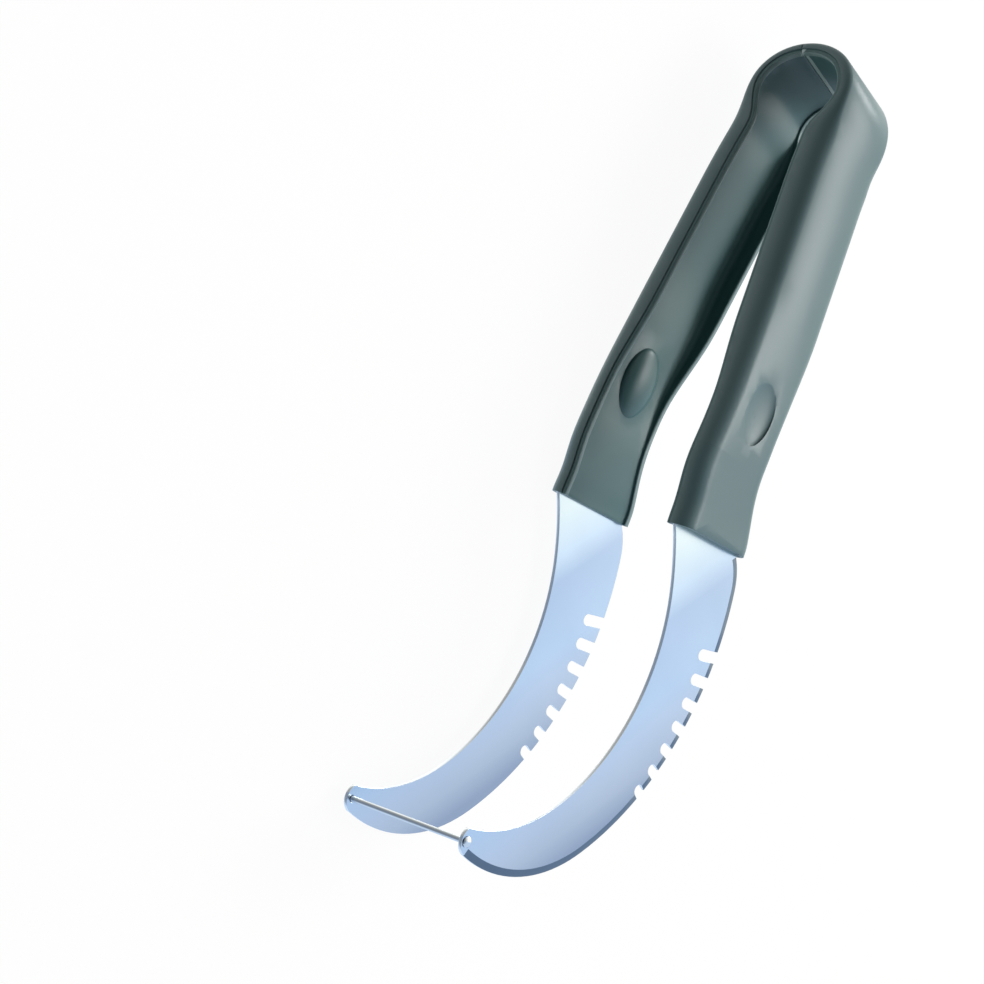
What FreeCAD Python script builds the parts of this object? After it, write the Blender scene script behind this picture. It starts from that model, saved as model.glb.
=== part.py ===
import FreeCAD, Part
import math
import os
import Sketcher
from collections import namedtuple
from FreeCAD import Placement, Rotation, Vector

# A hand-held melon slicer: two sprung arms joined at a bow, two sickle blades and a tip rod.
# It lies on its left side: +X runs from the bow to the blades, +Y to the notched backs of the
# blades, +Z up through both arms. The two arms mirror each other about one level plane.

doc = FreeCAD.newDocument("melon_slicer")
sheet = doc.addObject("Spreadsheet::Sheet", "Sizes")

# Driving sizes, in millimetres and degrees
SIZES = [
    # Place of the slicer in its own frame
    ("shoulder_place", 19.91, "X of the end face of the arms, where the blades come out"),
    ("front_place", -9.78, "Y of the straight front edge of the arms"),
    ("mid_level", 28.9, "Z of the plane halfway between the two arms"),
    # Arms, measured from the end face towards the bow
    ("arm_length", 160.4, "end face to the top of the bow, along the arm"),
    ("arm_half_at_end", 28.9, "mid plane to the outer face at the end"),
    ("arm_half_at_swell", 28.2, "mid plane to the outer face at the palm swell"),
    ("swell_place", 27.6, "end face to the palm swell"),
    ("arm_depth_at_end", 8.1, "outer face to the rim at the end"),
    ("rim_fall_end", 38.0, "end face to the place from which the rim stays low"),
    ("rim_fall_start", 68.0, "end face to the place where the rim begins to fall"),
    ("arm_depth", 9.6, "outer face to the rim along the arm"),
    ("arm_width", 33.9, "front edge to back edge along the arm"),
    ("end_flare", 4.2, "how far the back edge swells at the end"),
    ("end_flare_length", 24.0, "length of that swell"),
    ("waist_place", 36.2, "end face to the middle of the finger waist"),
    ("waist_depth", 2.4, "how far the back edge draws in at the finger waist"),
    ("waist_half_length", 37.6, "half length of the finger waist"),
    ("front_inset", 3.0, "how far the front edge draws in at the end"),
    ("front_inset_length", 22.0, "length of that draw"),
    ("end_slant", 4.5, "slope of the end face, in degrees"),
    ("slant_length", 12.0, "length of arm that the slope of the end face reaches into"),
    ("corner_radius", 5.4, "outer long corners of the arms"),
    # Bow, the loop that springs the arms apart
    ("bow_half_span", 19.4, "mid plane to the outer face of the bow"),
    ("bow_rise", 17.2, "widest place of the bow to its top, outer face"),
    ("bow_depth", 4.6, "outer face to the rim round the bow"),
    ("bow_front_rise", 2.4, "how far the front edge comes forward at the top of the bow"),
    ("bow_back_loss", 6.5, "how far the back edge draws in at the top of the bow"),
    ("bow_taper_before", 20.0, "start of that change to the widest place of the bow"),
    ("bow_corner_radius", 2.4, "outer corners of the bow"),
    ("neck_length", 13.9, "length over which the rim falls back from neck to bow"),
    ("lean", 9.7, "how far the bow leans to the back, in degrees"),
    ("lean_length", 37.5, "length over which the arm bends back to that lean"),
    ("seam_gap", 0.35, "gap between the two halves at the top of the bow"),
    ("seam_offset", 5.8, "how far the right half laps past the mid plane"),
    # Shell and liner
    ("shell_floor", 1.7, "shell thickness under the outer face"),
    ("shell_wall", 1.3, "shell thickness at the sides"),
    ("liner_wall", 0.9, "liner thickness at the sides"),
    ("liner_gap", 0.1, "glue line between shell and liner"),
    ("lip_height", 1.5, "height of the liner lip that caps the shell rim"),
    ("lip_setback", 0.35, "step from the shell side in to the lip"),
    ("lip_round", 0.65, "rounding of both edges of the lip"),
    ("recess_at_end", 1.0, "rim to inner face near the end"),
    ("recess", 7.4, "rim to inner face along the open channel"),
    ("recess_in_bow", 0.8, "rim to inner face round the bow"),
    ("ramp_start", 20.0, "end face to the start of the rising inner face"),
    ("ramp_end", 88.0, "end face to where the channel has its full depth"),
    # Thumb dimples
    ("dimple_place", 41.7, "end face to the centre of the dimple"),
    ("dimple_back", 15.5, "front edge to the centre of the dimple"),
    ("dimple_half_length", 11.1, "half length of the dimple"),
    ("dimple_half_width", 6.9, "half width of the dimple"),
    ("dimple_depth", 1.6, "depth of the dimple"),
    ("dimple_wall", 1.4, "shell thickness under the dimple"),
    ("bump_half_length", 11.8, "half length of the bump on the inner face"),
    ("bump_half_width", 7.8, "half width of the bump"),
    ("bump_height", 3.2, "height of the bump"),
    # Bow spring
    ("spring_thickness", 0.6, "sheet of the bow spring"),
    ("spring_width", 14.0, "width of the bow spring"),
    ("spring_play", 0.42, "clearance on each side of the bow spring"),
    ("spring_reach", 78.0, "how far the spring reaches down each side of the bow, in degrees"),
    # Blades
    ("blade_spacing", 47.7, "between the middle planes of the two blades"),
    ("blade_thickness", 1.2, "sheet of the blades"),
    ("blade_front", 3.2, "front edge of the arm to the inner edge of the blade at its shoulder"),
    ("blade_back", 37.2, "front edge of the arm to the back of the blade at its shoulder"),
    ("shoulder_gap", 0.1, "end face of the arm to the shoulders of the blade"),
    ("inner_heading", 39.2, "slope of the inner edge at the shoulder, in degrees"),
    ("inner_radius_upper", 96.0, "inner edge beside the arm"),
    ("inner_turn_upper", 12.0, "turn of that arc, in degrees"),
    ("inner_radius", 67.5, "main curve of the inner edge"),
    ("inner_turn", 70.8, "turn of that curve, in degrees"),
    ("inner_radius_tip", 53.0, "inner edge beside the tip"),
    ("inner_turn_tip", 38.2, "turn of that arc, in degrees"),
    ("back_heading", 49.8, "slope of the back edge at the shoulder, in degrees"),
    ("back_radius_upper", 20.5, "back edge beside the arm"),
    ("back_turn_upper", 31.4, "turn of that arc, in degrees"),
    ("back_radius", 97.0, "main curve of the back edge"),
    ("back_turn", 59.3, "turn of that curve, in degrees"),
    ("back_radius_tip", 52.8, "back edge beside the tip"),
    ("back_turn_tip", 60.0, "turn of that arc, in degrees"),
    ("tip_bulge", 2.4, "how far the end of the blade rounds out past the ends of its edges"),
    ("bevel_width", 2.4, "ground bevel along the back edge"),
    ("bevel_depth", 0.5, "how much of the sheet the bevel takes"),
    ("notch_count", 7, "notches in each blade"),
    ("notch_pitch", 5.08, "angle from notch to notch, in degrees"),
    ("notch_start", 12.0, "angle of the first notch, in degrees"),
    ("notch_web", 19.0, "inner edge to the bottom of a notch"),
    ("notch_width", 3.6, "width of a notch"),
    # Tangs and their pins
    ("tang_length", 30.0, "end face to the end of the tang"),
    ("tang_width", 19.0, "width of the tang"),
    ("tang_back", 18.6, "front edge of the arm to the middle of the tang"),
    ("tang_play", 0.06, "clearance round the tang"),
    ("pin_radius", 1.6, "pins through the tang"),
    ("pin_play", 0.05, "clearance round a pin"),
    ("pin_pitch", 13.0, "between the two pins"),
    ("pin_inset", 6.0, "end of the tang to the deeper pin"),
    ("pin_cover", 1.0, "liner left over the inner end of a pin"),
    # Tip rod
    ("rod_radius", 0.9, "shank of the tip rod"),
    ("rod_play", 0.25, "clearance round the rod in the blades"),
    ("rod_head_radius", 1.7, "domed heads of the rod"),
    ("rod_head_height", 0.8, "height of a head"),
    ("rod_end_play", 0.3, "between a head and its blade"),
]


def fill_sheet():
    for row, (alias, value, note) in enumerate(SIZES, start=1):
        sheet.set(f"A{row}", alias)
        sheet.set(f"B{row}", str(value))
        sheet.set(f"C{row}", note)
        sheet.setAlias(f"B{row}", alias)
    doc.recompute()


fill_sheet()


def size(alias):
    return float(sheet.get(alias))


def bind(obj, prop, formula):
    obj.setExpression(prop, formula)


# Curves that shape an arm

def smooth(t):
    """Rises from 0 to 1 with no slope at either end."""
    t = min(max(t, 0.0), 1.0)
    return t * t * (3.0 - 2.0 * t)


SOFT_SHARE = 0.19


def glide(t):
    """Rises from 0 to 1 on a straight run with a soft start and stop."""
    t = min(max(t, 0.0), 1.0)
    ramp = SOFT_SHARE
    peak = 1.0 / (1.0 - ramp)
    if t < ramp:
        return peak * t * t / (2.0 * ramp)
    if t > 1.0 - ramp:
        return 1.0 - peak * (1.0 - t) ** 2 / (2.0 * ramp)
    return peak * (t - ramp / 2.0)


def bow_centre():
    return size("arm_length") - size("bow_rise")


def outer_half(along):
    """Mid plane to the outer face, at a distance along the arm."""
    swell = size("arm_half_at_swell")
    if along < size("swell_place"):
        return swell - (swell - size("arm_half_at_end")) * (1.0 - along / size("swell_place")) ** 2
    run = bow_centre() - size("swell_place")
    return swell + (size("bow_half_span") - swell) * glide((along - size("swell_place")) / run)


def into_bow(along):
    """0 on the arm, 1 in the bow."""
    return smooth(1.0 + (along - bow_centre()) / size("neck_length"))


def into_taper(along):
    """0 on the arm, 1 at the top of the bow."""
    before = size("bow_taper_before")
    return smooth((along - bow_centre() + before) / (before + size("bow_rise")))


def depth(along):
    """Outer face to rim."""
    at_end = size("arm_depth_at_end")
    run = size("rim_fall_start") - size("rim_fall_end")
    on_arm = at_end + (size("arm_depth") - at_end) * smooth((along - size("rim_fall_end")) / run)
    return on_arm + (size("bow_depth") - on_arm) * into_bow(along)


def recess_depth(along):
    """Rim to inner face."""
    run = size("ramp_end") - size("ramp_start")
    at_end = size("recess_at_end")
    on_arm = at_end + (size("recess") - at_end) * smooth((along - size("ramp_start")) / run)
    return on_arm + (size("recess_in_bow") - on_arm) * into_bow(along)


def front_edge(along):
    """Y of the front edge, from the straight front edge of the arm."""
    inset = size("front_inset") * (1.0 - smooth(along / size("front_inset_length")))
    return inset - size("bow_front_rise") * into_taper(along)


def back_edge(along):
    """Y of the back edge."""
    flare = size("end_flare") * (1.0 - smooth(along / size("end_flare_length")))
    from_waist = min(abs(along - size("waist_place")) / size("waist_half_length"), 1.0)
    waist = size("waist_depth") * math.cos(from_waist * math.pi / 2.0) ** 2
    return size("arm_width") + flare - waist - size("bow_back_loss") * into_taper(along)


def lean_angle(along):
    return math.radians(size("lean")) * smooth(1.0 + (along - bow_centre()) / size("lean_length"))


SPINE_STEPS = 24


def spine(along):
    """Back shift and length reached, at a distance along an arm that bends back."""
    start = bow_centre() - size("lean_length")
    if along <= start:
        return 0.0, along
    pace = (along - start) / SPINE_STEPS
    angles = [lean_angle(start + (i + 0.5) * pace) for i in range(SPINE_STEPS)]
    return sum(math.sin(a) for a in angles) * pace, start + sum(math.cos(a) for a in angles) * pace


def to_frame(half, back, along, side):
    """A point given from the mid plane, the front edge and the end face of the arms."""
    return Vector(
        size("shoulder_place") - along,
        size("front_place") + back,
        size("mid_level") + side * half,
    )


class Station:
    """One cross section of an arm: where it lies and which way it faces."""

    def __init__(self, side, along, half, normal, local):
        self.side = side
        self.local = local
        self.angle = lean_angle(along)
        self.shift, self.reach = spine(along)
        self.half = half
        self.normal = normal
        self.depth = depth(local)
        self.recess = recess_depth(local)
        self.front = front_edge(along)
        self.back = back_edge(along)
        slanted = max(0.0, 1.0 - local / size("slant_length"))
        self.slope = math.tan(math.radians(size("end_slant"))) * slanted

    def point(self, inward, across):
        """inward: from the outer face towards the rim. across: from front edge to back edge."""
        half = self.half - self.normal[0] * inward
        run = -self.normal[1] * inward
        back = self.shift + run * math.sin(self.angle) + across * math.cos(self.angle)
        along = self.reach + run * math.cos(self.angle) - across * math.sin(self.angle)
        along += self.slope * (across - size("tang_back"))
        return to_frame(half, back, along, self.side)


ARM_STEPS = 24
BOW_STEPS = 6


def stations(side):
    """Even cross sections from the end of an arm to the seam at the top of the bow."""
    found = [arm_station(side, bow_centre() * step / ARM_STEPS) for step in range(ARM_STEPS)]
    half_span = size("bow_half_span")
    past_middle = side * size("seam_offset") - size("seam_gap") / 2.0
    sweep = math.pi / 2.0 + math.asin(past_middle / half_span)
    for step in range(BOW_STEPS + 1):
        turn = sweep * step / BOW_STEPS
        half = half_span * math.cos(turn)
        along = bow_centre() + size("bow_rise") * math.sin(turn)
        slope = (math.cos(turn) / half_span, math.sin(turn) / size("bow_rise"))
        long = math.hypot(*slope)
        normal = (slope[0] / long, slope[1] / long)
        found.append(Station(side, along, half, normal, bow_centre()))
    return found


# length of arm over which the slope of its outer face is measured
SLOPE_STEP = 1.0


def arm_station(side, along):
    before, after = along - SLOPE_STEP / 2.0, along + SLOPE_STEP / 2.0
    rise = (outer_half(after) - outer_half(before)) / SLOPE_STEP
    long = math.hypot(1.0, rise)
    return Station(side, along, outer_half(along), (1.0 / long, -rise / long), along)


# Cross sections of the shell and the liner

LEAST_RADIUS = 0.3
LEAST_STRAIGHT = 0.2


def wire(points, arcs):
    """A closed wire through points. arcs gives the middle point of each edge that is an arc."""
    edges = []
    for i, start in enumerate(points):
        end = points[(i + 1) % len(points)]
        if i in arcs:
            edges.append(Part.Arc(start, arcs[i], end).toShape())
        else:
            edges.append(Part.makeLine(start, end))
    return Part.Wire(edges)


def corner_middle(centre, radius, inward_sign, across_sign):
    reach = radius * math.sqrt(0.5)
    return centre[0] + inward_sign * reach, centre[1] + across_sign * reach


def shell_corner(st):
    share = into_bow(st.local)
    radius = size("corner_radius") + (size("bow_corner_radius") - size("corner_radius")) * share
    return min(radius, st.depth - size("lip_height") - LEAST_STRAIGHT)


def shell_wire(st):
    """The shell: a channel that opens inwards, with round outer corners."""
    rim = st.depth - size("lip_height")
    radius = shell_corner(st)
    inner = max(radius - size("shell_floor"), LEAST_RADIUS)
    floor = size("shell_floor")
    front, back, wall = st.front, st.back, size("shell_wall")
    flat = [
        (rim, front), (radius, front), (0.0, front + radius), (0.0, back - radius),
        (radius, back), (rim, back), (rim, back - wall), (floor + inner, back - wall),
        (floor, back - wall - inner), (floor, front + wall + inner),
        (floor + inner, front + wall), (rim, front + wall),
    ]
    middles = {
        1: corner_middle((radius, front + radius), radius, -1, -1),
        3: corner_middle((radius, back - radius), radius, -1, 1),
        7: corner_middle((floor + inner, back - wall - inner), inner, -1, 1),
        9: corner_middle((floor + inner, front + wall + inner), inner, -1, -1),
    }
    return wire([st.point(*p) for p in flat], {i: st.point(*p) for i, p in middles.items()})


def liner_outer_floor(st):
    """Outer face of the arm to the outer side of the liner, with room for the bow spring."""
    room = size("spring_thickness") + 2.0 * size("spring_play")
    return size("shell_floor") + size("liner_gap") + room * into_bow(st.local)


# largest part of the rise from inner face to rim that one rounding takes
LIP_SHARE = 0.45


def liner_wire(st):
    """The liner: a lining inside the channel, with lips that cap the rims of the shell."""
    gap = size("liner_gap")
    rim = st.depth
    under_lip = st.depth - size("lip_height") + gap
    floor = liner_outer_floor(st)
    face = st.depth - st.recess
    room = under_lip - floor - LEAST_STRAIGHT
    outer = max(min(shell_corner(st) - size("shell_floor"), room), LEAST_RADIUS)
    soft = min(size("lip_round"), st.recess * LIP_SHARE)
    inner = min(max(outer - size("liner_wall"), LEAST_RADIUS), st.recess * LIP_SHARE)
    front, back = st.front, st.back
    lip_front, lip_back = front + size("lip_setback"), back - size("lip_setback")
    out_front = front + size("shell_wall") + gap
    out_back = back - size("shell_wall") - gap
    in_front, in_back = out_front + size("liner_wall"), out_back - size("liner_wall")
    flat = [
        (rim, lip_front + soft), (rim - soft, lip_front), (under_lip, lip_front),
        (under_lip, out_front), (floor + outer, out_front), (floor, out_front + outer),
        (floor, out_back - outer), (floor + outer, out_back), (under_lip, out_back),
        (under_lip, lip_back), (rim - soft, lip_back), (rim, lip_back - soft),
        (rim, in_back + soft), (rim - soft, in_back), (face + inner, in_back),
        (face, in_back - inner), (face, in_front + inner), (face + inner, in_front),
        (rim - soft, in_front), (rim, in_front - soft),
    ]
    middles = {
        0: corner_middle((rim - soft, lip_front + soft), soft, 1, -1),
        4: corner_middle((floor + outer, out_front + outer), outer, -1, -1),
        6: corner_middle((floor + outer, out_back - outer), outer, -1, 1),
        10: corner_middle((rim - soft, lip_back - soft), soft, 1, 1),
        12: corner_middle((rim - soft, in_back + soft), soft, 1, -1),
        14: corner_middle((face + inner, in_back - inner), inner, -1, 1),
        16: corner_middle((face + inner, in_front + inner), inner, -1, -1),
        18: corner_middle((rim - soft, in_front - soft), soft, 1, 1),
    }
    return wire([st.point(*p) for p in flat], {i: st.point(*p) for i, p in middles.items()})


def loft(wires):
    solid = Part.makeLoft(wires, True, False)
    if solid.Volume < 0:
        solid.reverse()
    return solid


def dimple_body(side, inward, half_length, half_width, height):
    """A flattened ball lying under the outer face at the thumb dimple."""
    along = size("dimple_place")
    centre = to_frame(outer_half(along) - inward, size("dimple_back"), along, side)
    ball = Part.makeSphere(1.0)
    shape = FreeCAD.Matrix()
    shape.A11 = half_length
    shape.A22 = half_width
    shape.A33 = height
    ball = ball.transformGeometry(shape)
    ball.translate(centre)
    return ball


def blade_level(side):
    return side * size("blade_spacing") / 2.0


def tang_space(side):
    """The slot that the tang fills, with its clearance."""
    play = size("tang_play")
    wide = size("tang_width") + 2.0 * play
    thick = size("blade_thickness") + 2.0 * play
    deep = size("tang_length") + play
    slot = Part.makeBox(2.0 * deep, wide, thick)
    corner = to_frame(abs(blade_level(side)), size("tang_back"), size("tang_length") + play, side)
    slot.translate(corner - Vector(0, wide / 2.0, thick / 2.0))
    return slot


PIN_COUNT = 2


def pin_along(index):
    """End face to a pin, counted from the deeper one."""
    return size("tang_length") - size("pin_inset") - index * size("pin_pitch")


def pin_axis(side, index):
    """Where a pin stands on the outer side of the liner, and how long it is."""
    along = pin_along(index)
    outer = outer_half(along) - size("shell_floor") - size("liner_gap")
    face = outer_half(along) - (depth(along) - recess_depth(along))
    return along, outer, outer - face - size("pin_cover")


def pins(side, play):
    made = []
    for index in range(PIN_COUNT):
        along, outer, length = pin_axis(side, index)
        start = to_frame(outer + play, size("tang_back"), along, side)
        radius = size("pin_radius") + play
        made.append(Part.makeCylinder(radius, length + 2.0 * play, start, Vector(0, 0, -side)))
    return made


def shell_shape(side):
    shape = loft([shell_wire(st) for st in stations(side)])
    wall = size("dimple_wall")
    length, width = size("dimple_half_length"), size("dimple_half_width")
    deep = size("dimple_depth")
    pad = dimple_body(side, size("shell_floor"), length + wall, width + wall,
                      deep + wall - size("shell_floor"))
    hollow = dimple_body(side, 0.0, length, width, deep)
    return shape.fuse(pad).cut(hollow)


def liner_shape(side):
    shape = loft([liner_wire(st) for st in stations(side)])
    wall = size("dimple_wall") + size("liner_gap")
    length, width = size("dimple_half_length"), size("dimple_half_width")
    room = dimple_body(side, size("shell_floor"), length + wall, width + wall,
                       size("dimple_depth") + wall - size("shell_floor"))
    along = size("dimple_place")
    face = depth(along) - recess_depth(along)
    bump = dimple_body(side, face, size("bump_half_length"), size("bump_half_width"),
                       size("bump_height"))
    shape = shape.fuse(bump).cut(room).cut(tang_space(side))
    for pin in pins(side, size("pin_play")):
        shape = shape.cut(pin)
    return shape


def add_feature(name, shape):
    piece = doc.addObject("Part::Feature", name)
    piece.Shape = shape
    piece.Label = name
    piece.Placement = Placement()
    return piece


# Blades

Arc = namedtuple("Arc", "start middle end centre degrees")


class Chain:
    """Tangent arcs laid end to end. x runs from the end face to the tip, y to the back."""

    def __init__(self, x, y, heading):
        self.at = Vector(x, y, 0)
        self.heading = math.radians(heading)
        self.arcs = []

    def turn(self, radius, degrees):
        """Adds an arc that turns towards the front."""
        sweep = math.radians(degrees)
        side = Vector(math.sin(self.heading), -math.cos(self.heading), 0)
        centre = self.at + side * radius

        def on_arc(part):
            back = self.heading - part * sweep
            return centre - Vector(math.sin(back), -math.cos(back), 0) * radius

        self.arcs.append(Arc(self.at, on_arc(0.5), on_arc(1.0), centre, degrees))
        self.at = on_arc(1.0)
        self.heading -= sweep


def shoulder(across):
    """A point on the shoulder line of a blade, which follows the slanted end face of the arm."""
    slope = math.tan(math.radians(size("end_slant")))
    return Vector(size("shoulder_gap") - slope * (across - size("tang_back")), across, 0)


def edge_chain(edge):
    """The inner or back edge of a blade, from its shoulder to its tip."""
    start = shoulder(size("blade_front" if edge == "inner" else "blade_back"))
    chain = Chain(start.x, start.y, size(f"{edge}_heading"))
    for part in ("_upper", "", "_tip"):
        chain.turn(size(f"{edge}_radius{part}"), size(f"{edge}_turn{part}"))
    return chain


def tip_centre():
    """Midway between the ends of the two edges of a blade, where the rod goes through."""
    return (edge_chain("inner").at + edge_chain("back").at) * 0.5


def origin_plane(body, role):
    for feature in body.Origin.OriginFeatures:
        if feature.Role == role:
            return feature
    raise ValueError(role)


def new_sketch(body, name, role="XY_Plane", offset=None):
    sketch = body.newObject("Sketcher::SketchObject", name)
    sketch.AttachmentSupport = (origin_plane(body, role), [""])
    sketch.MapMode = "FlatFace"
    if offset is not None:
        sketch.AttachmentOffset = Placement(offset, Rotation())
    return sketch


def add_line(sketch, start, end):
    sketch.addGeometry(Part.LineSegment(start, end), False)


def add_arc(sketch, start, middle, end):
    arc = Part.Arc(start, middle, end)
    sketch.addGeometry(arc, False)


def blade_outline(sketch):
    """The outline of a blade with its tang, in the plane of the sheet."""
    inner = edge_chain("inner")
    back = edge_chain("back")
    for arc in inner.arcs:
        add_arc(sketch, arc.start, arc.middle, arc.end)
    heading = (inner.heading + back.heading) / 2.0
    way = Vector(math.cos(heading), math.sin(heading), 0)
    add_arc(sketch, inner.at, tip_centre() + way * size("tip_bulge"), back.at)
    for arc in reversed(back.arcs):
        add_arc(sketch, arc.end, arc.middle, arc.start)
    low = size("tang_back") - size("tang_width") / 2.0
    high = size("tang_back") + size("tang_width") / 2.0
    corners = [
        back.arcs[0].start, shoulder(high), Vector(-size("tang_length"), high, 0),
        Vector(-size("tang_length"), low, 0), shoulder(low), inner.arcs[0].start,
    ]
    for start, finish in zip(corners, corners[1:]):
        add_line(sketch, start, finish)


def add_circle(sketch, centre, radius_formula, radius):
    index = sketch.addGeometry(Part.Circle(centre, Vector(0, 0, 1), radius), False)
    sketch.addConstraint(Sketcher.Constraint("Radius", index, radius))
    name = f"Constraints[{sketch.ConstraintCount - 1}]"
    bind(sketch, name, radius_formula)


def bevel_cut(body, name, arc, side):
    """Grinds the back edge along one arc, on the outer side of the blade."""
    out = arc.middle - arc.centre
    turn = Rotation(Vector(0, 1, 0), math.degrees(math.atan2(out.y, out.x)))
    sketch = new_sketch(body, name + "_side", "XZ_Plane")
    sketch.AttachmentOffset = Placement(Vector(arc.centre.x, 0, -arc.centre.y), turn)
    wide = size("bevel_width")
    deep = size("bevel_depth")
    face = size("blade_thickness") / 2.0
    # the long side passes through the start of the bevel and through the ground edge
    corners = [
        Vector(out.Length - 2.0 * wide, side * (face + deep), 0),
        Vector(out.Length + wide, side * (face + deep), 0),
        Vector(out.Length + wide, side * (face - 2.0 * deep), 0),
    ]
    for start, end in zip(corners, corners[1:] + corners[:1]):
        add_line(sketch, start, end)
    groove = body.newObject("PartDesign::Groove", name)
    groove.Profile = sketch
    groove.ReferenceAxis = (sketch, ["V_Axis"])
    groove.Midplane = True
    groove.Angle = arc.degrees
    doc.recompute()
    return groove


# length of the notch cutter, past the bottom of a notch, in depths of the web
CUTTER_REACH = 3.0


def make_blade(name, side):
    body = doc.addObject("PartDesign::Body", name)
    outline = new_sketch(body, name + "_outline")
    blade_outline(outline)
    pad = body.newObject("PartDesign::Pad", name + "_sheet")
    pad.Profile = outline
    pad.SideType = "Symmetric"
    bind(pad, "Length", "Sizes.blade_thickness")
    doc.recompute()
    for number, arc in enumerate(edge_chain("back").arcs, start=1):
        bevel_cut(body, f"{name}_bevel_{number}", arc, side)

    centre = edge_chain("inner").arcs[1].centre
    slot = new_sketch(body, name + "_notch", offset=centre)
    bottom = size("inner_radius") + size("notch_web")
    half = size("notch_width") / 2.0
    turn = Rotation(Vector(0, 0, 1), 90.0 + size("notch_start"))
    reach = bottom + CUTTER_REACH * size("notch_web")
    flat = [
        Vector(bottom + half, -half, 0), Vector(reach, -half, 0),
        Vector(reach, half, 0), Vector(bottom + half, half, 0),
    ]
    corners = [turn.multVec(p) for p in flat]
    foot = turn.multVec(Vector(bottom, 0, 0))
    for start, end in zip(corners, corners[1:]):
        add_line(slot, start, end)
    add_arc(slot, corners[3], foot, corners[0])
    cut = body.newObject("PartDesign::Pocket", name + "_notch_cut")
    cut.Profile = slot
    cut.Type = "ThroughAll"
    cut.SideType = "Symmetric"
    doc.recompute()
    pattern = body.newObject("PartDesign::PolarPattern", name + "_notches")
    pattern.Originals = [cut]
    pattern.Axis = (slot, ["N_Axis"])
    pattern.Reversed = True
    bind(pattern, "Angle", "Sizes.notch_pitch * (Sizes.notch_count - 1)")
    bind(pattern, "Occurrences", "Sizes.notch_count")
    body.Tip = pattern
    doc.recompute()

    holes = new_sketch(body, name + "_holes")
    add_circle(holes, tip_centre(), "Sizes.rod_radius + Sizes.rod_play",
               size("rod_radius") + size("rod_play"))
    for index in range(PIN_COUNT):
        at = Vector(-pin_along(index), size("tang_back"), 0)
        add_circle(holes, at, "Sizes.pin_radius + Sizes.pin_play",
                   size("pin_radius") + size("pin_play"))
    drill = body.newObject("PartDesign::Pocket", name + "_drill")
    drill.Profile = holes
    drill.Type = "ThroughAll"
    drill.SideType = "Symmetric"
    body.Tip = drill
    body.Label = name
    bind(body, "Placement.Base.x", "Sizes.shoulder_place")
    bind(body, "Placement.Base.y", "Sizes.front_place")
    sign = "+" if side > 0 else "-"
    bind(body, "Placement.Base.z", f"Sizes.mid_level {sign} Sizes.blade_spacing / 2")
    doc.recompute()
    return body


right_blade = make_blade("right_blade", 1)
left_blade = make_blade("left_blade", -1)

right_shell = add_feature("right_shell", shell_shape(1))
left_shell = add_feature("left_shell", shell_shape(-1))
right_liner = add_feature("right_liner", liner_shape(1))
left_liner = add_feature("left_liner", liner_shape(-1))
right_pins = add_feature("right_tang_pins", Part.makeCompound(pins(1, 0.0)))
left_pins = add_feature("left_tang_pins", Part.makeCompound(pins(-1, 0.0)))


# Bow spring: a bent strip that follows the bow, between shells and liners

def bow_frame():
    """The middle of the bow, turned with its lean."""
    shift, reach = spine(bow_centre())
    angle = lean_angle(bow_centre())
    middle = (front_edge(bow_centre()) + back_edge(bow_centre())) / 2.0
    back = shift + middle * math.cos(angle)
    along = reach - middle * math.sin(angle)
    return Placement(to_frame(0.0, back, along, 1), Rotation(Vector(0, 0, 1), -math.degrees(angle)))


def make_bow_spring():
    body = doc.addObject("PartDesign::Body", "bow_spring")
    sketch = new_sketch(body, "bow_spring_side", "XZ_Plane")
    outer = size("shell_floor") + size("spring_play") + size("liner_gap") / 2.0
    reach = math.radians(size("spring_reach"))

    def at(inward, turn):
        # the sketch lies in the XZ plane, and the top of the bow points to -X
        half = size("bow_half_span") - inward
        rise = size("bow_rise") - inward
        return Vector(-rise * math.cos(turn), half * math.sin(turn), 0)

    inner = outer + size("spring_thickness")
    steps = 6
    turns = [reach * (2.0 * i / steps - 1.0) for i in range(steps + 1)]
    for inward in (outer, inner):
        for start, end in zip(turns, turns[1:]):
            add_arc(sketch, at(inward, start), at(inward, (start + end) / 2.0), at(inward, end))
    add_line(sketch, at(outer, turns[0]), at(inner, turns[0]))
    add_line(sketch, at(outer, turns[-1]), at(inner, turns[-1]))
    pad = body.newObject("PartDesign::Pad", "bow_spring_strip")
    pad.Profile = sketch
    pad.SideType = "Symmetric"
    bind(pad, "Length", "Sizes.spring_width")
    body.Label = "bow_spring"
    body.Placement = bow_frame()
    return body


# Tip rod: a shank with a domed head outside each blade

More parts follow.
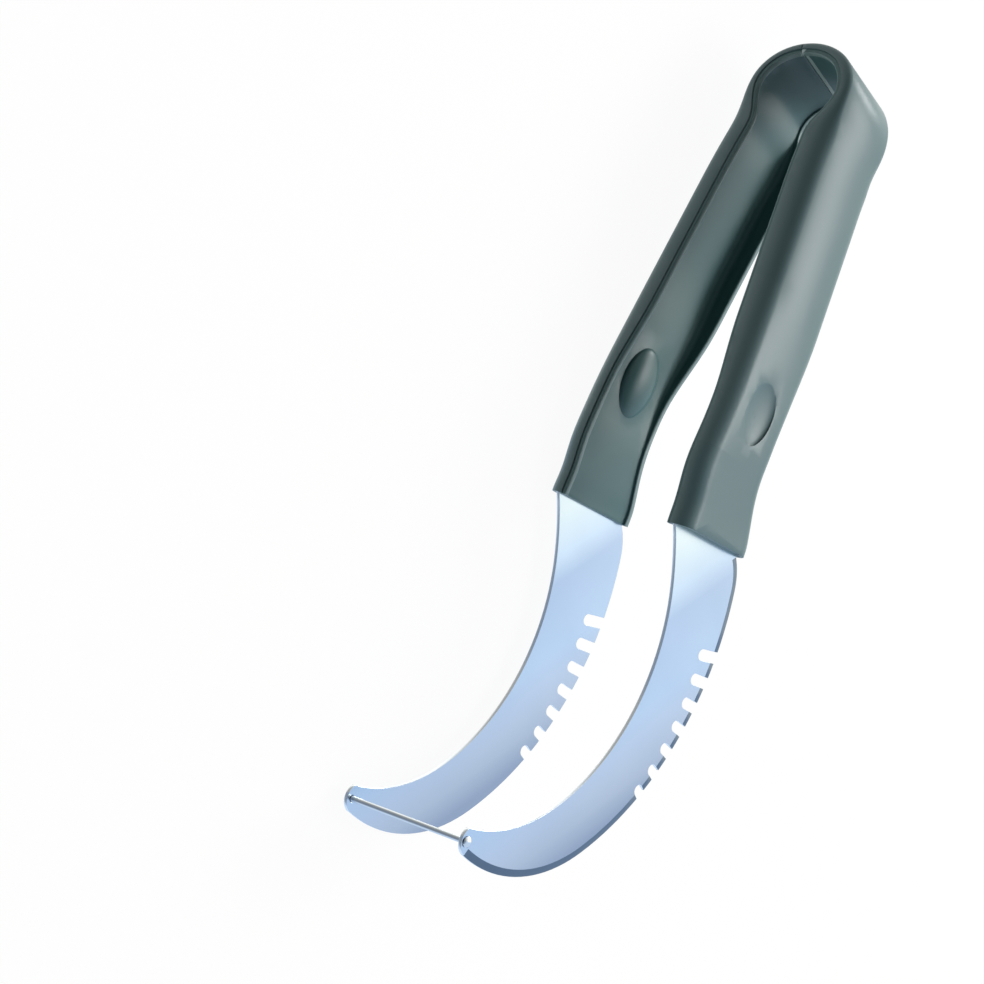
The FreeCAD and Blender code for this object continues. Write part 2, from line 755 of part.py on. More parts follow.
def make_tip_rod():
    body = doc.addObject("PartDesign::Body", "tip_rod")
    sketch = new_sketch(body, "tip_rod_half", "XZ_Plane")
    head = size("blade_spacing") / 2.0 + size("blade_thickness") / 2.0 + size("rod_end_play")
    top = head + size("rod_head_height")
    shank = size("rod_radius")
    wide = size("rod_head_radius")
    dome = (wide * wide + size("rod_head_height") ** 2) / (2.0 * size("rod_head_height"))
    half_turn = math.asin(wide / dome) / 2.0
    bulge = Vector(dome * math.sin(half_turn), top - dome * (1.0 - math.cos(half_turn)), 0)
    upper = [Vector(shank, head, 0), Vector(wide, head, 0), bulge, Vector(0, top, 0)]
    lower = [Vector(p.x, -p.y, 0) for p in upper]
    add_line(sketch, lower[0], upper[0])
    add_line(sketch, lower[3], upper[3])
    for foot, edge, middle, crown in (upper, lower):
        add_line(sketch, foot, edge)
        add_arc(sketch, edge, middle, crown)
    turned = body.newObject("PartDesign::Revolution", "tip_rod_turned")
    turned.Profile = sketch
    turned.ReferenceAxis = (sketch, ["V_Axis"])
    turned.Angle = 360.0
    body.Label = "tip_rod"
    at = tip_centre()
    body.Placement = Placement(
        Vector(size("shoulder_place") + at.x, size("front_place") + at.y, size("mid_level")),
        Rotation(),
    )
    return body


bow_spring = make_bow_spring()
tip_rod = make_tip_rod()
doc.recompute()

NODES = [
    right_shell, left_shell, right_liner, left_liner, right_blade, left_blade,
    right_pins, left_pins, bow_spring, tip_rod,
]


def check_document():
    for obj in doc.Objects:
        if "Invalid" in obj.State or "Error" in obj.State:
            raise RuntimeError(f"{obj.Name} failed: {obj.State}")
    for node in NODES:
        if node.Shape.isNull() or not node.Shape.isValid():
            raise RuntimeError(f"{node.Label} has no valid shape")


def write_parts():
    os.makedirs("parts", exist_ok=True)
    for node in NODES:
        node.Shape.exportStep(f"parts/{node.Label}.step")
        box = node.Shape.BoundBox
        print(f"{node.Label}: {len(node.Shape.Solids)} solid(s), {node.Shape.Volume:.1f} mm3, {box}")


check_document()
write_parts()
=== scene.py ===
import bmesh
import bpy
import math
from mathutils import Matrix, Vector
from mathutils.bvhtree import BVHTree


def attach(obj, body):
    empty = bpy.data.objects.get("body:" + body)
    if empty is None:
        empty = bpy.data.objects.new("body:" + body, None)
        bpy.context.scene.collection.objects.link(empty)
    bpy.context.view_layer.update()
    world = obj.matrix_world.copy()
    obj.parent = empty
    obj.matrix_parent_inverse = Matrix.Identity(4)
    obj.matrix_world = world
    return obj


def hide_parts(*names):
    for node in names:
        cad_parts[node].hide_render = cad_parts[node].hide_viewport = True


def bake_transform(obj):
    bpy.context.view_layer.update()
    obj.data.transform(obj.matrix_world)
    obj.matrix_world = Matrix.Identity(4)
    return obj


# A hand-held melon slicer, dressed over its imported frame: two grey-green arms that meet in a
# sprung bow, two polished sickle blades and the steel rod between their tips.
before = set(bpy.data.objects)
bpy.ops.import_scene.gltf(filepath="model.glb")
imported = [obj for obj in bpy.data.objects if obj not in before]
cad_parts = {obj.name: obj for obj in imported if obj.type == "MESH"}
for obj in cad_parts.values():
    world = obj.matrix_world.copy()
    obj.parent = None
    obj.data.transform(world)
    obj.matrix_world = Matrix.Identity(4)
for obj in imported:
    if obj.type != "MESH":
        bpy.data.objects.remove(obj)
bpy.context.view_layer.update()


# Camera. It stands at the height and angle of the photograph, in front of the concave edges of
# the blades and above the upper arm, with the bow at the top of the picture.
CAMERA_PLACE = (0.19655, -0.78307, 0.68535)
CAMERA_RIGHT = (-0.40018, 0.56683, 0.72011)
CAMERA_UP = (-0.9025, -0.3804, -0.2021)
LENS = 123.6
SENSOR = 36.0
CLIP_START = 0.01
CLIP_END = 20.0

camera_data = bpy.data.cameras.new("photo_camera")
camera_data.lens = LENS
camera_data.sensor_width = SENSOR
camera_data.sensor_fit = "HORIZONTAL"
camera_data.clip_start = CLIP_START
camera_data.clip_end = CLIP_END
camera = bpy.data.objects.new("photo_camera", camera_data)
bpy.context.scene.collection.objects.link(camera)
right = Vector(CAMERA_RIGHT).normalized()
up = Vector(CAMERA_UP)
up = (up - up.dot(right) * right).normalized()
turn = Matrix((right, up, right.cross(up))).transposed().to_4x4()
camera.matrix_world = Matrix.Translation(CAMERA_PLACE) @ turn
bpy.context.scene.camera = camera
bpy.context.scene.view_settings.view_transform = "Standard"


# Shells: the outer mouldings of the two arms, grey-green satin plastic with a thumb dimple.
# Each ends at the seam in the top of the bow.
JOIN = 0.00001
SMOOTH_ANGLE = 38.0
EASED_ANGLE = 40.0
EASED_STEPS = 2
SHELL_EDGE = 0.00018
SHELL_COLOUR = (0.096, 0.160, 0.172, 1.0)
SHELL_SHADE = (0.088, 0.150, 0.162, 1.0)
SHELL_ROUGHNESS = 0.36
SPECULAR = 0.50
# grain of the plastic: its pitch, depth and strength, the slow drift of tone and the drift of gloss
GRAIN_SIZE = 0.0003
GRAIN_DEPTH = 0.00001
GRAIN_STRENGTH = 0.35
GRAIN_DETAIL = 2.0
DRIFT_SIZE = 0.03
DRIFT_DETAIL = 3.0
GLOSS_DRIFT = 0.04
# crown of the outer face: where it is highest, and how far it falls on the way to the edges
CROWN_MIDDLE = 0.0125
CROWN_HALF_WIDTH = 0.017
CROWN_RISE = 0.0026
CROWN_START = -0.005
CROWN_FULL = -0.060
BOW_TOP = (-0.1322, 0.0096, 0.0289)


def sharp_edges(form, angle):
    """The edges of a form that turn by more than an angle."""
    inner = [edge for edge in form.edges if len(edge.link_faces) == 2]
    return [edge for edge in inner if edge.calc_face_angle(0.0) > angle]


def piece_from(form, name):
    """A new piece with that form, standing at the origin."""
    mesh = bpy.data.meshes.new(name)
    form.to_mesh(mesh)
    form.free()
    mesh.shade_smooth()
    mesh.set_sharp_from_angle(angle=math.radians(SMOOTH_ANGLE))
    piece = bpy.data.objects.new(name, mesh)
    bpy.context.scene.collection.objects.link(piece)
    return piece


def joined_form(node):
    """The form of a CAD piece, with its loose triangles joined into one skin."""
    form = bmesh.new()
    form.from_mesh(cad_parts[node].data)
    bmesh.ops.remove_doubles(form, verts=form.verts, dist=JOIN)
    return form


def eased_form(node, radius):
    """The form of a CAD piece with its sharp edges eased to a radius."""
    form = joined_form(node)
    edges = sharp_edges(form, math.radians(EASED_ANGLE))
    bmesh.ops.bevel(form, geom=edges, offset=radius, offset_type="OFFSET", segments=EASED_STEPS,
                    affect="EDGES", profile=0.5, material=-1, clamp_overlap=True)
    return form


def value_socket(group, name, way, value=0.0):
    """A number that goes into or comes out of a node group."""
    socket = group.interface.new_socket(name, in_out=way, socket_type="NodeSocketFloat")
    socket.default_value = value


def moulded_grain():
    """The fine spark-eroded grain of a moulding: a height, and a slow drift of tone."""
    group = bpy.data.node_groups.new("moulded grain", "ShaderNodeTree")
    value_socket(group, "Grain size", "INPUT", GRAIN_SIZE)
    value_socket(group, "Drift size", "INPUT", DRIFT_SIZE)
    value_socket(group, "Height", "OUTPUT")
    value_socket(group, "Drift", "OUTPUT")
    nodes, links = group.nodes, group.links
    given, result = nodes.new("NodeGroupInput"), nodes.new("NodeGroupOutput")
    place = nodes.new("ShaderNodeTexCoord")
    for index, (name, detail) in enumerate((("Height", GRAIN_DETAIL), ("Drift", DRIFT_DETAIL))):
        scale = nodes.new("ShaderNodeMath")
        scale.operation = "DIVIDE"
        scale.inputs[0].default_value = 1.0
        links.new(given.outputs[index], scale.inputs[1])
        noise = nodes.new("ShaderNodeTexNoise")
        noise.inputs["Detail"].default_value = detail
        links.new(place.outputs["Object"], noise.inputs["Vector"])
        links.new(scale.outputs[0], noise.inputs["Scale"])
        links.new(noise.outputs["Fac"], result.inputs[name])
    return group


GRAIN = moulded_grain()


def soft_crown():
    """The slight crown of the outer face of an arm, which fades out towards the blade: a height."""
    group = bpy.data.node_groups.new("soft crown", "ShaderNodeTree")
    value_socket(group, "Rise", "INPUT", CROWN_RISE)
    value_socket(group, "Height", "OUTPUT")
    nodes, links = group.nodes, group.links
    given, result = nodes.new("NodeGroupInput"), nodes.new("NodeGroupOutput")
    place = nodes.new("ShaderNodeTexCoord")
    split = nodes.new("ShaderNodeSeparateXYZ")
    links.new(place.outputs["Object"], split.inputs[0])
    across = nodes.new("ShaderNodeMapRange")
    across.clamp = False
    across.inputs["From Min"].default_value = CROWN_MIDDLE
    across.inputs["From Max"].default_value = CROWN_MIDDLE + CROWN_HALF_WIDTH
    links.new(split.outputs["Y"], across.inputs["Value"])
    fall = nodes.new("ShaderNodeMath")
    fall.operation = "MULTIPLY"
    links.new(across.outputs[0], fall.inputs[0])
    links.new(across.outputs[0], fall.inputs[1])
    share = nodes.new("ShaderNodeMapRange")
    share.inputs["From Min"].default_value = CROWN_START
    share.inputs["From Max"].default_value = CROWN_FULL
    share.inputs["To Max"].default_value = -1.0
    links.new(split.outputs["X"], share.inputs["Value"])
    sunk = nodes.new("ShaderNodeMath")
    sunk.operation = "MULTIPLY"
    links.new(fall.outputs[0], sunk.inputs[0])
    links.new(share.outputs[0], sunk.inputs[1])
    height = nodes.new("ShaderNodeMath")
    height.operation = "MULTIPLY"
    links.new(sunk.outputs[0], height.inputs[0])
    links.new(given.outputs["Rise"], height.inputs[1])
    links.new(height.outputs[0], result.inputs["Height"])
    return group


CROWN = soft_crown()


def satin_plastic(name, colour, shade, roughness, grain_depth, crowned=False):
    """Moulded satin plastic with a fine grain."""
    material = bpy.data.materials.new(name)
    material.use_nodes = True
    nodes, links = material.node_tree.nodes, material.node_tree.links
    surface = nodes["Principled BSDF"]
    grain = nodes.new("ShaderNodeGroup")
    grain.node_tree = GRAIN
    grain.inputs["Grain size"].default_value = GRAIN_SIZE
    tone = nodes.new("ShaderNodeMix")
    tone.data_type = "RGBA"
    tone.inputs[6].default_value = shade
    tone.inputs[7].default_value = colour
    gloss = nodes.new("ShaderNodeMapRange")
    gloss.inputs["To Min"].default_value = roughness - GLOSS_DRIFT
    gloss.inputs["To Max"].default_value = roughness + GLOSS_DRIFT
    bump = nodes.new("ShaderNodeBump")
    bump.inputs["Strength"].default_value = GRAIN_STRENGTH
    bump.inputs["Distance"].default_value = grain_depth
    links.new(grain.outputs["Drift"], tone.inputs[0])
    links.new(tone.outputs[2], surface.inputs["Base Color"])
    links.new(grain.outputs["Drift"], gloss.inputs["Value"])
    links.new(gloss.outputs[0], surface.inputs["Roughness"])
    links.new(grain.outputs["Height"], bump.inputs["Height"])
    links.new(bump.outputs[0], surface.inputs["Normal"])
    surface.inputs["Specular IOR Level"].default_value = SPECULAR
    if crowned:
        crown = nodes.new("ShaderNodeGroup")
        crown.node_tree = CROWN
        swell = nodes.new("ShaderNodeBump")
        swell.inputs["Distance"].default_value = 1.0
        links.new(crown.outputs["Height"], swell.inputs["Height"])
        links.new(swell.outputs[0], bump.inputs["Normal"])
    return material


shell_plastic = satin_plastic("grey-green shell moulding", SHELL_COLOUR, SHELL_SHADE,
                              SHELL_ROUGHNESS, GRAIN_DEPTH, crowned=True)
for side in ("right", "left"):
    shell = piece_from(eased_form(side + "_shell", SHELL_EDGE), side + "_shell_moulding")
    shell.data.materials.append(shell_plastic)
    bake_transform(shell)
    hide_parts(side + "_shell")


# Liners: the inner mouldings, glued into the shells with a fine groove round the rim. Their lip
# is painted paler as a painted highlight along the rim, and the back of the thumb dimple stands out of
# them as a bump.
LINER_EDGE = 0.00018
LINER_COLOUR = (0.066, 0.142, 0.144, 1.0)
LINER_SHADE = (0.058, 0.128, 0.132, 1.0)
LINER_ROUGHNESS = 0.38
# painted highlight: the lip's paler colour stands in for the light caught by the rounded rim
LIP_PAINTED_HIGHLIGHT_COLOUR = (0.20, 0.275, 0.28, 1.0)
LIP_PAINTED_HIGHLIGHT_SECOND_TONE = (0.175, 0.245, 0.25, 1.0)
LIP_ROUGHNESS = 0.34
LIP_GRAIN_DEPTH = 0.000008
# the lip stands between these heights over the rim, and faces the way the rim does
LIP_LOWEST = 0.0012
LIP_REACH = 0.0019
LIP_TILT = 0.5
# a rim face has the wall behind it at least this deep, and an end face looks along the arm
SHELL_WALL_DEPTH = 0.0022
END_TILT = 0.75
# painted highlight: the pale colour of the seam faces stands in for the light caught by the seam's
# edge
SEAM_PAINTED_HIGHLIGHT_COLOUR = (0.40, 0.50, 0.50, 1.0)
SEAM_PAINTED_HIGHLIGHT_SECOND_TONE = (0.36, 0.46, 0.46, 1.0)
SEAM_LEVEL = 0.0245
SEAM_REACH = 0.0006


def rim_skin(node):
    """The rim faces of a shell, as a tree to measure from: behind them the wall stands deep."""
    form = joined_form(node)
    form.normal_update()
    whole = BVHTree.FromBMesh(form)
    others = []
    for face in form.faces:
        middle, way = face.calc_center_median(), face.normal
        depth = whole.ray_cast(middle - way * JOIN, -way)[3]
        if depth is None or depth < SHELL_WALL_DEPTH or abs(way.x) > END_TILT and middle.x > 0.0:
            others.append(face)
    bmesh.ops.delete(form, geom=others, context="FACES")
    rim = BVHTree.FromBMesh(form)
    form.free()
    return rim


def over_rim(face, rim):
    """Whether a face of a liner lies on the lip that caps the rim of its shell."""
    middle = face.calc_center_median()
    foot, way, _, gap = rim.find_nearest(middle)
    raised = gap < LIP_REACH and (middle - foot).dot(way) > LIP_LOWEST
    return raised and way.dot(face.normal) > LIP_TILT


def at_seam(face):
    """Whether a face of a liner borders the seam near the top of the bow, which is painted as a pale
    highlight line.
    """
    middle = face.calc_center_median()
    return middle.x < BOW_TOP[0] and abs(middle.z - SEAM_LEVEL) < SEAM_REACH


liner_plastic = satin_plastic("grey-green liner moulding", LINER_COLOUR, LINER_SHADE,
                              LINER_ROUGHNESS, GRAIN_DEPTH)
# painted highlight along the lip of the liner
lip_painted_highlight_plastic = satin_plastic("lip moulding with painted highlight", LIP_PAINTED_HIGHLIGHT_COLOUR, LIP_PAINTED_HIGHLIGHT_SECOND_TONE, LIP_ROUGHNESS,
                            LIP_GRAIN_DEPTH)
# painted highlight along the seam line
seam_painted_highlight_plastic = satin_plastic("seam line with painted highlight", SEAM_PAINTED_HIGHLIGHT_COLOUR, SEAM_PAINTED_HIGHLIGHT_SECOND_TONE, LIP_ROUGHNESS,
                             LIP_GRAIN_DEPTH)
for side in ("right", "left"):
    rim = rim_skin(side + "_shell")
    form = eased_form(side + "_liner", LINER_EDGE)
    form.normal_update()
    for face in form.faces:
        # faces at the seam get the painted highlight of the seam line, faces over the rim the painted
        # highlight of the lip
        face.material_index = 2 if at_seam(face) else 1 if over_rim(face, rim) else 0
    liner = piece_from(form, side + "_liner_moulding")
    liner.data.materials.append(liner_plastic)
    liner.data.materials.append(lip_painted_highlight_plastic)
    liner.data.materials.append(seam_painted_highlight_plastic)
    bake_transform(liner)
    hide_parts(side + "_liner")


# Blades: sickles stamped from 1.2 mm stainless steel, mirror polished, with seven notches and a
# ground bevel along the back. Each is held in its arm by a tang on two pins.
BLADE_EDGE = 0.00012
BLADE_SHARP_ANGLE = 45.0
LEVEL_ANGLE = 0.5
# how level a face of a blade lies, as the rise of its normal: flats, ground bevel, else cut edge
FLAT = 0.999
GROUND = 0.5
# polishing lines: their fineness, stretch along the blade and strength, and the haze over them
LINE_FINENESS = 4000.0
LINE_STRETCH = (0.02, 1.0, 1.0)
LINE_DETAIL = 3.0
LINE_STRENGTH = 0.15
LINE_DEPTH = 0.000004
GROUND_LINE_DEPTH = 0.00001
HAZE_FINENESS = 45.0
HAZE_DETAIL = 2.0
BLADE_GLOSS = (0.16, 0.24)
GROUND_GLOSS = (0.28, 0.36)
CUT_GLOSS = (0.20, 0.30)
# painted reflection: the blade's colour changes along this way, pale beside the arm, darker at the low
# back
PAINTED_REFLECTION_WAY = (8.0, 9.5, 0.0)
PAINTED_REFLECTION_START = 0.20
PAINTED_REFLECTION_FULL = 1.08
# painted reflection: pale near the arm, bluer in the middle, darkest at the low back
BLADE_PAINTED_REFLECTION_TONES = (
    (0.0, (0.82, 0.87, 0.84, 1.0)),
    (0.19, (0.70, 0.785, 0.865, 1.0)),
    (0.30, (0.55, 0.635, 0.77, 1.0)),
    (0.60, (0.62, 0.72, 0.84, 1.0)),
    (0.72, (0.65, 0.70, 0.79, 1.0)),
    (0.81, (0.635, 0.665, 0.735, 1.0)),
    (0.885, (0.59, 0.615, 0.675, 1.0)),
    (1.0, (0.415, 0.455, 0.54, 1.0)),
)
# painted shade: the ground bevel is coloured far darker than the steel, for the darker light it
# mirrors
GROUND_PAINTED_SHADE_TONES = ((0.0, (0.16, 0.21, 0.27, 1.0)), (1.0, (0.13, 0.17, 0.23, 1.0)))
# painted highlight: the cut edges are coloured near white, for the bright line they catch
CUT_EDGE_PAINTED_HIGHLIGHT_TONES = ((0.0, (0.98, 0.98, 1.0, 1.0)), (1.0, (0.86, 0.90, 0.95, 1.0)))


def steel_lines():
    """Polishing lines of steel: a height that changes quickly one way and slowly the other."""
    group = bpy.data.node_groups.new("steel lines", "ShaderNodeTree")
    value_socket(group, "Fineness", "INPUT", LINE_FINENESS)
    value_socket(group, "Height", "OUTPUT")
    value_socket(group, "Haze", "OUTPUT")
    nodes, links = group.nodes, group.links
    given, result = nodes.new("NodeGroupInput"), nodes.new("NodeGroupOutput")
    place = nodes.new("ShaderNodeTexCoord")
    stretch = nodes.new("ShaderNodeMapping")
    stretch.inputs["Scale"].default_value = LINE_STRETCH
    lines = nodes.new("ShaderNodeTexNoise")
    lines.inputs["Detail"].default_value = LINE_DETAIL
    haze = nodes.new("ShaderNodeTexNoise")
    haze.inputs["Scale"].default_value = HAZE_FINENESS
    haze.inputs["Detail"].default_value = HAZE_DETAIL
    links.new(place.outputs["Object"], stretch.inputs["Vector"])
    links.new(stretch.outputs[0], lines.inputs["Vector"])
    links.new(given.outputs["Fineness"], lines.inputs["Scale"])
    links.new(place.outputs["Object"], haze.inputs["Vector"])
    links.new(lines.outputs["Fac"], result.inputs["Height"])
    links.new(haze.outputs["Fac"], result.inputs["Haze"])
    return group


STEEL_LINES = steel_lines()


def painted_reflection_reach(material):
    """How far a point lies from the arm towards the low back of a blade, 0 to 1: the share of the
    painted reflection.
    """
    nodes, links = material.node_tree.nodes, material.node_tree.links
    place = nodes.new("ShaderNodeTexCoord")
    reach = nodes.new("ShaderNodeVectorMath")
    reach.operation = "DOT_PRODUCT"
    reach.inputs[1].default_value = PAINTED_REFLECTION_WAY
    share = nodes.new("ShaderNodeMapRange")
    share.inputs["From Min"].default_value = PAINTED_REFLECTION_START
    share.inputs["From Max"].default_value = PAINTED_REFLECTION_FULL
    links.new(place.outputs["Object"], reach.inputs[0])
    links.new(reach.outputs["Value"], share.inputs["Value"])
    return share.outputs[0]


def polished_steel(name, tones, gloss_range, line_depth, painted_reflection=False):
    """Polished stainless steel with faint lines and haze; when asked, its colour is a painted
    reflection that darkens towards the low back of a blade.
    """
    material = bpy.data.materials.new(name)
    material.use_nodes = True
    nodes, links = material.node_tree.nodes, material.node_tree.links
    surface = nodes["Principled BSDF"]
    surface.inputs["Metallic"].default_value = 1.0
    polish = nodes.new("ShaderNodeGroup")
    polish.node_tree = STEEL_LINES
    tone = nodes.new("ShaderNodeValToRGB")
    stops = tone.color_ramp.elements
    while len(stops) < len(tones):
        stops.new(1.0)
    for stop, (at, colour) in zip(stops, tones):
        stop.position = at
        stop.color = colour
    gloss = nodes.new("ShaderNodeMapRange")
    gloss.inputs["To Min"].default_value, gloss.inputs["To Max"].default_value = gloss_range
    bump = nodes.new("ShaderNodeBump")
    bump.inputs["Strength"].default_value = LINE_STRENGTH
    bump.inputs["Distance"].default_value = line_depth
    links.new(painted_reflection_reach(material) if painted_reflection else polish.outputs["Haze"], tone.inputs[0])
    links.new(tone.outputs[0], surface.inputs["Base Color"])
    links.new(polish.outputs["Haze"], gloss.inputs["Value"])
    links.new(gloss.outputs[0], surface.inputs["Roughness"])
    links.new(polish.outputs["Height"], bump.inputs["Height"])
    links.new(bump.outputs[0], surface.inputs["Normal"])
    return material


# the blade's colour is a painted reflection, graded along the blade
blade_steel_with_painted_reflection = polished_steel("polished blade steel with painted reflection", BLADE_PAINTED_REFLECTION_TONES, BLADE_GLOSS, LINE_DEPTH, painted_reflection=True)
# painted shade on the ground bevel
ground_steel_with_painted_shade = polished_steel("ground bevel steel with painted shade", GROUND_PAINTED_SHADE_TONES, GROUND_GLOSS, GROUND_LINE_DEPTH)
# painted highlight on the cut edges
cut_edge_steel_with_painted_highlight = polished_steel("cut edge steel with painted highlight", CUT_EDGE_PAINTED_HIGHLIGHT_TONES, CUT_GLOSS, LINE_DEPTH)
for side in ("right", "left"):
    form = joined_form(side + "_blade")
    bmesh.ops.dissolve_limit(form, angle_limit=math.radians(LEVEL_ANGLE), verts=form.verts,
                             edges=form.edges)
    form.normal_update()
    for face in form.faces:
        level = abs(face.normal.z)
        face.material_index = 0 if level > FLAT else 1 if level > GROUND else 2
    edges = sharp_edges(form, math.radians(BLADE_SHARP_ANGLE))
    bmesh.ops.bevel(form, geom=edges, offset=BLADE_EDGE, offset_type="OFFSET", segments=EASED_STEPS,
                    affect="EDGES", profile=0.5, material=-1, clamp_overlap=True)
    blade = piece_from(form, side + "_blade_sickle")
    for face in blade.data.polygons:
        face.use_smooth = abs(face.normal.z) < FLAT
    blade.data.materials.append(blade_steel_with_painted_reflection)
    blade.data.materials.append(ground_steel_with_painted_shade)
    blade.data.materials.append(cut_edge_steel_with_painted_highlight)
    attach(blade, side + "_arm")
    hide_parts(side + "_blade")


# Tip rod and tang pins: bright drawn wire. The rod has a domed head outside each blade tip, and
# two plain pins hold each tang inside its arm.
ROD_TONES = ((0.0, (0.80, 0.82, 0.85, 1.0)), (1.0, (0.72, 0.75, 0.79, 1.0)))
ROD_GLOSS = (0.12, 0.22)
ROD_LINE_DEPTH = 0.000003

rod_steel = polished_steel("drawn rod steel", ROD_TONES, ROD_GLOSS, ROD_LINE_DEPTH)
for node in ("tip_rod", "right_tang_pins", "left_tang_pins"):
    for material_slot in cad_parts[node].material_slots:
        material_slot.material = rod_steel


# Bow spring: a strip of blued spring steel bent to a loop. It lies hidden between the shells and
# the liners of the bow, and pushes the arms apart.
SPRING_TONES = ((0.0, (0.22, 0.25, 0.32, 1.0)), (1.0, (0.16, 0.19, 0.26, 1.0)))
SPRING_GLOSS = (0.30, 0.42)

spring_steel = polished_steel("blued spring steel", SPRING_TONES, SPRING_GLOSS, LINE_DEPTH)
for material_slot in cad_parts["bow_spring"].material_slots:
    material_slot.material = spring_steel


# Floor: a plain pale surface under the slicer. The camera sees it near white, and it keeps the
# soft shadow of the slicer.
FLOOR_HALF = 3.0
FLOOR_WHITENESS = 0.94
PAPER_COLOUR = (0.93, 0.93, 0.93, 1.0)
WHITE = (1.0, 1.0, 1.0, 1.0)

form = bmesh.new()
bmesh.ops.create_grid(form, x_segments=1, y_segments=1, size=FLOOR_HALF)
floor = piece_from(form, "floor")
floor_material = bpy.data.materials.new("pale floor")
floor_material.use_nodes = True
nodes, links = floor_material.node_tree.nodes, floor_material.node_tree.links
nodes.clear()
result = nodes.new("ShaderNodeOutputMaterial")
mixed = nodes.new("ShaderNodeMixShader")
paper = nodes.new("ShaderNodeBsdfDiffuse")
paper.inputs["Color"].default_value = PAPER_COLOUR
glow = nodes.new("ShaderNodeEmission")
glow.inputs["Color"].default_value = WHITE
glow.inputs["Strength"].default_value = 1.0
rays = nodes.new("ShaderNodeLightPath")
share = nodes.new("ShaderNodeMath")
share.operation = "MULTIPLY"
share.inputs[1].default_value = FLOOR_WHITENESS
links.new(rays.outputs["Is Camera Ray"], share.inputs[0])
links.new(share.outputs[0], mixed.inputs[0])
links.new(paper.outputs[0], mixed.inputs[1])
links.new(glow.outputs[0], mixed.inputs[2])
links.new(mixed.outputs[0], result.inputs["Surface"])
floor.data.materials.append(floor_material)
# the slicer is lit from all round, as if held above the floor, which only takes its shadow
floor.visible_diffuse = False
floor.visible_glossy = False
floor.visible_shadow = False


# Light: a soft box high above the bow, a low one behind it, and a pale surround. The surround is
# bright above, behind and below the slicer, dim at the horizon and dark on the camera's side.
KEY_WATTS = 5.6
KEY_WIDTH = 0.50
KEY_PLACE = (-0.47, 0.60, 0.95)
SIDE_WATTS = 3.0
SIDE_WIDTH = 0.35
SIDE_PLACE = (-0.85, 0.65, 0.42)
LIGHT_AIM = (-0.03, 0.0, 0.03)
SURROUND_WHITE = (0.97, 1.0, 0.97, 1.0)
SURROUND_BLUE = (0.56, 0.70, 0.88, 1.0)
DARK_SIDE = 0.02
HORIZON = 0.75
ROUND_LEVEL = 1.25
BELOW_LEVEL = 1.7
# where each change of the surround starts and ends on a sphere of radius one: backward along y,
# downward along z, away from the horizon along z both ways, and to blue along x
BACKWARD_FADE = (-0.45, 0.30)
DOWNWARD_FADE = (-0.10, -0.70)
HORIZON_FADE = (0.10, 0.50)
BLUE_FADE = (-0.21, -0.12)
# what steel and glossy plastic mirror: white from the left and blue from elsewhere, and less dark
# on the camera's side
MIRRORED_LEVEL = 1.12
MIRRORED_DARK_SIDE = 0.35
MIRRORED_FADE = (-0.60, 0.0)


def soft_box(name, place, width, watts):
    """A square soft box that looks at the middle of the slicer."""
    lamp_data = bpy.data.lights.new(name, "AREA")
    lamp_data.shape = "SQUARE"
    lamp_data.size = width
    lamp_data.energy = watts
    lamp = bpy.data.objects.new(name, lamp_data)
    lamp.location = place
    lamp.rotation_euler = (Vector(LIGHT_AIM) - Vector(place)).to_track_quat("-Z", "Y").to_euler()
    bpy.context.scene.collection.objects.link(lamp)
    return lamp


soft_box("key_box", KEY_PLACE, KEY_WIDTH, KEY_WATTS)
soft_box("side_box", SIDE_PLACE, SIDE_WIDTH, SIDE_WATTS)

world = bpy.data.worlds.new("pale surround")
bpy.context.scene.world = world
world.use_nodes = True
nodes, links = world.node_tree.nodes, world.node_tree.links
nodes.clear()


def fade(value, reach, low, high):
    """A soft step of the surround from low at the start of a reach to high at its end."""
    step = nodes.new("ShaderNodeMapRange")
    step.interpolation_type = "SMOOTHSTEP"
    step.inputs["From Min"].default_value, step.inputs["From Max"].default_value = reach
    step.inputs["To Min"].default_value = low
    step.inputs["To Max"].default_value = high
    links.new(value, step.inputs["Value"])
    return step.outputs[0]


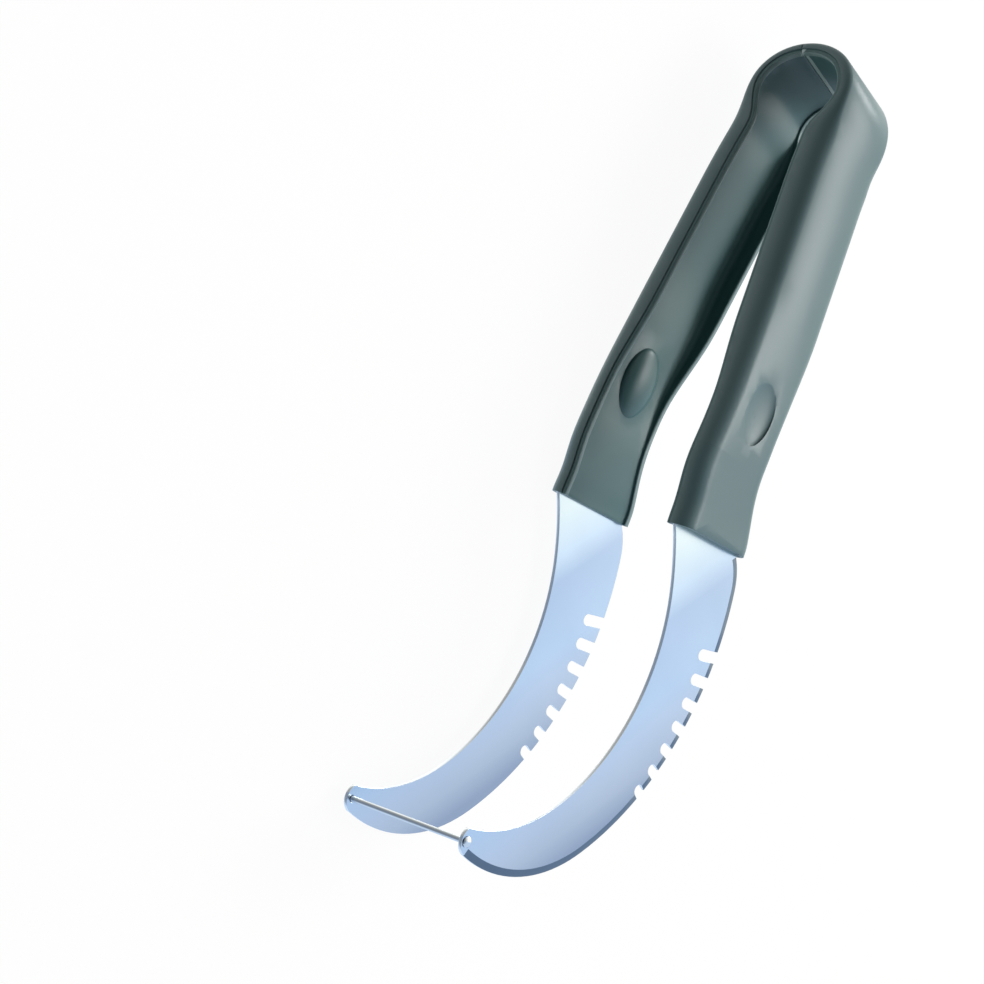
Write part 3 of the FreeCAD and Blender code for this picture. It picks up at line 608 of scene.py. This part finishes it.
direction = nodes.new("ShaderNodeTexCoord")
split = nodes.new("ShaderNodeSeparateXYZ")
links.new(direction.outputs["Generated"], split.inputs[0])
height = nodes.new("ShaderNodeMath")
height.operation = "ABSOLUTE"
links.new(split.outputs["Z"], height.inputs[0])
level = nodes.new("ShaderNodeMath")
level.operation = "MULTIPLY"
behind_or_below = nodes.new("ShaderNodeMath")
behind_or_below.operation = "MAXIMUM"
links.new(fade(split.outputs["Y"], BACKWARD_FADE, DARK_SIDE, ROUND_LEVEL), behind_or_below.inputs[0])
links.new(fade(split.outputs["Z"], DOWNWARD_FADE, 0.0, BELOW_LEVEL), behind_or_below.inputs[1])
links.new(behind_or_below.outputs[0], level.inputs[0])
links.new(fade(height.outputs[0], HORIZON_FADE, HORIZON, 1.0), level.inputs[1])
tint = nodes.new("ShaderNodeMix")
tint.data_type = "RGBA"
tint.inputs[6].default_value = SURROUND_WHITE
tint.inputs[7].default_value = SURROUND_BLUE
round_light = nodes.new("ShaderNodeBackground")
links.new(tint.outputs[2], round_light.inputs["Color"])
white = nodes.new("ShaderNodeBackground")
white.inputs["Color"].default_value = WHITE
white.inputs["Strength"].default_value = 1.0
rays = nodes.new("ShaderNodeLightPath")
shown = nodes.new("ShaderNodeMix")
links.new(rays.outputs["Is Glossy Ray"], shown.inputs[0])
blueness = nodes.new("ShaderNodeMath")
blueness.operation = "MULTIPLY"
links.new(rays.outputs["Is Glossy Ray"], blueness.inputs[0])
links.new(fade(split.outputs["X"], BLUE_FADE, 0.0, 1.0), blueness.inputs[1])
links.new(blueness.outputs[0], tint.inputs[0])
links.new(level.outputs[0], shown.inputs[2])
links.new(fade(split.outputs["Y"], MIRRORED_FADE, MIRRORED_DARK_SIDE, MIRRORED_LEVEL), shown.inputs[3])
links.new(shown.outputs[0], round_light.inputs["Strength"])
mixed = nodes.new("ShaderNodeMixShader")
result = nodes.new("ShaderNodeOutputWorld")
links.new(rays.outputs["Is Camera Ray"], mixed.inputs[0])
links.new(round_light.outputs[0], mixed.inputs[1])
links.new(white.outputs[0], mixed.inputs[2])
links.new(mixed.outputs[0], result.inputs["Surface"])
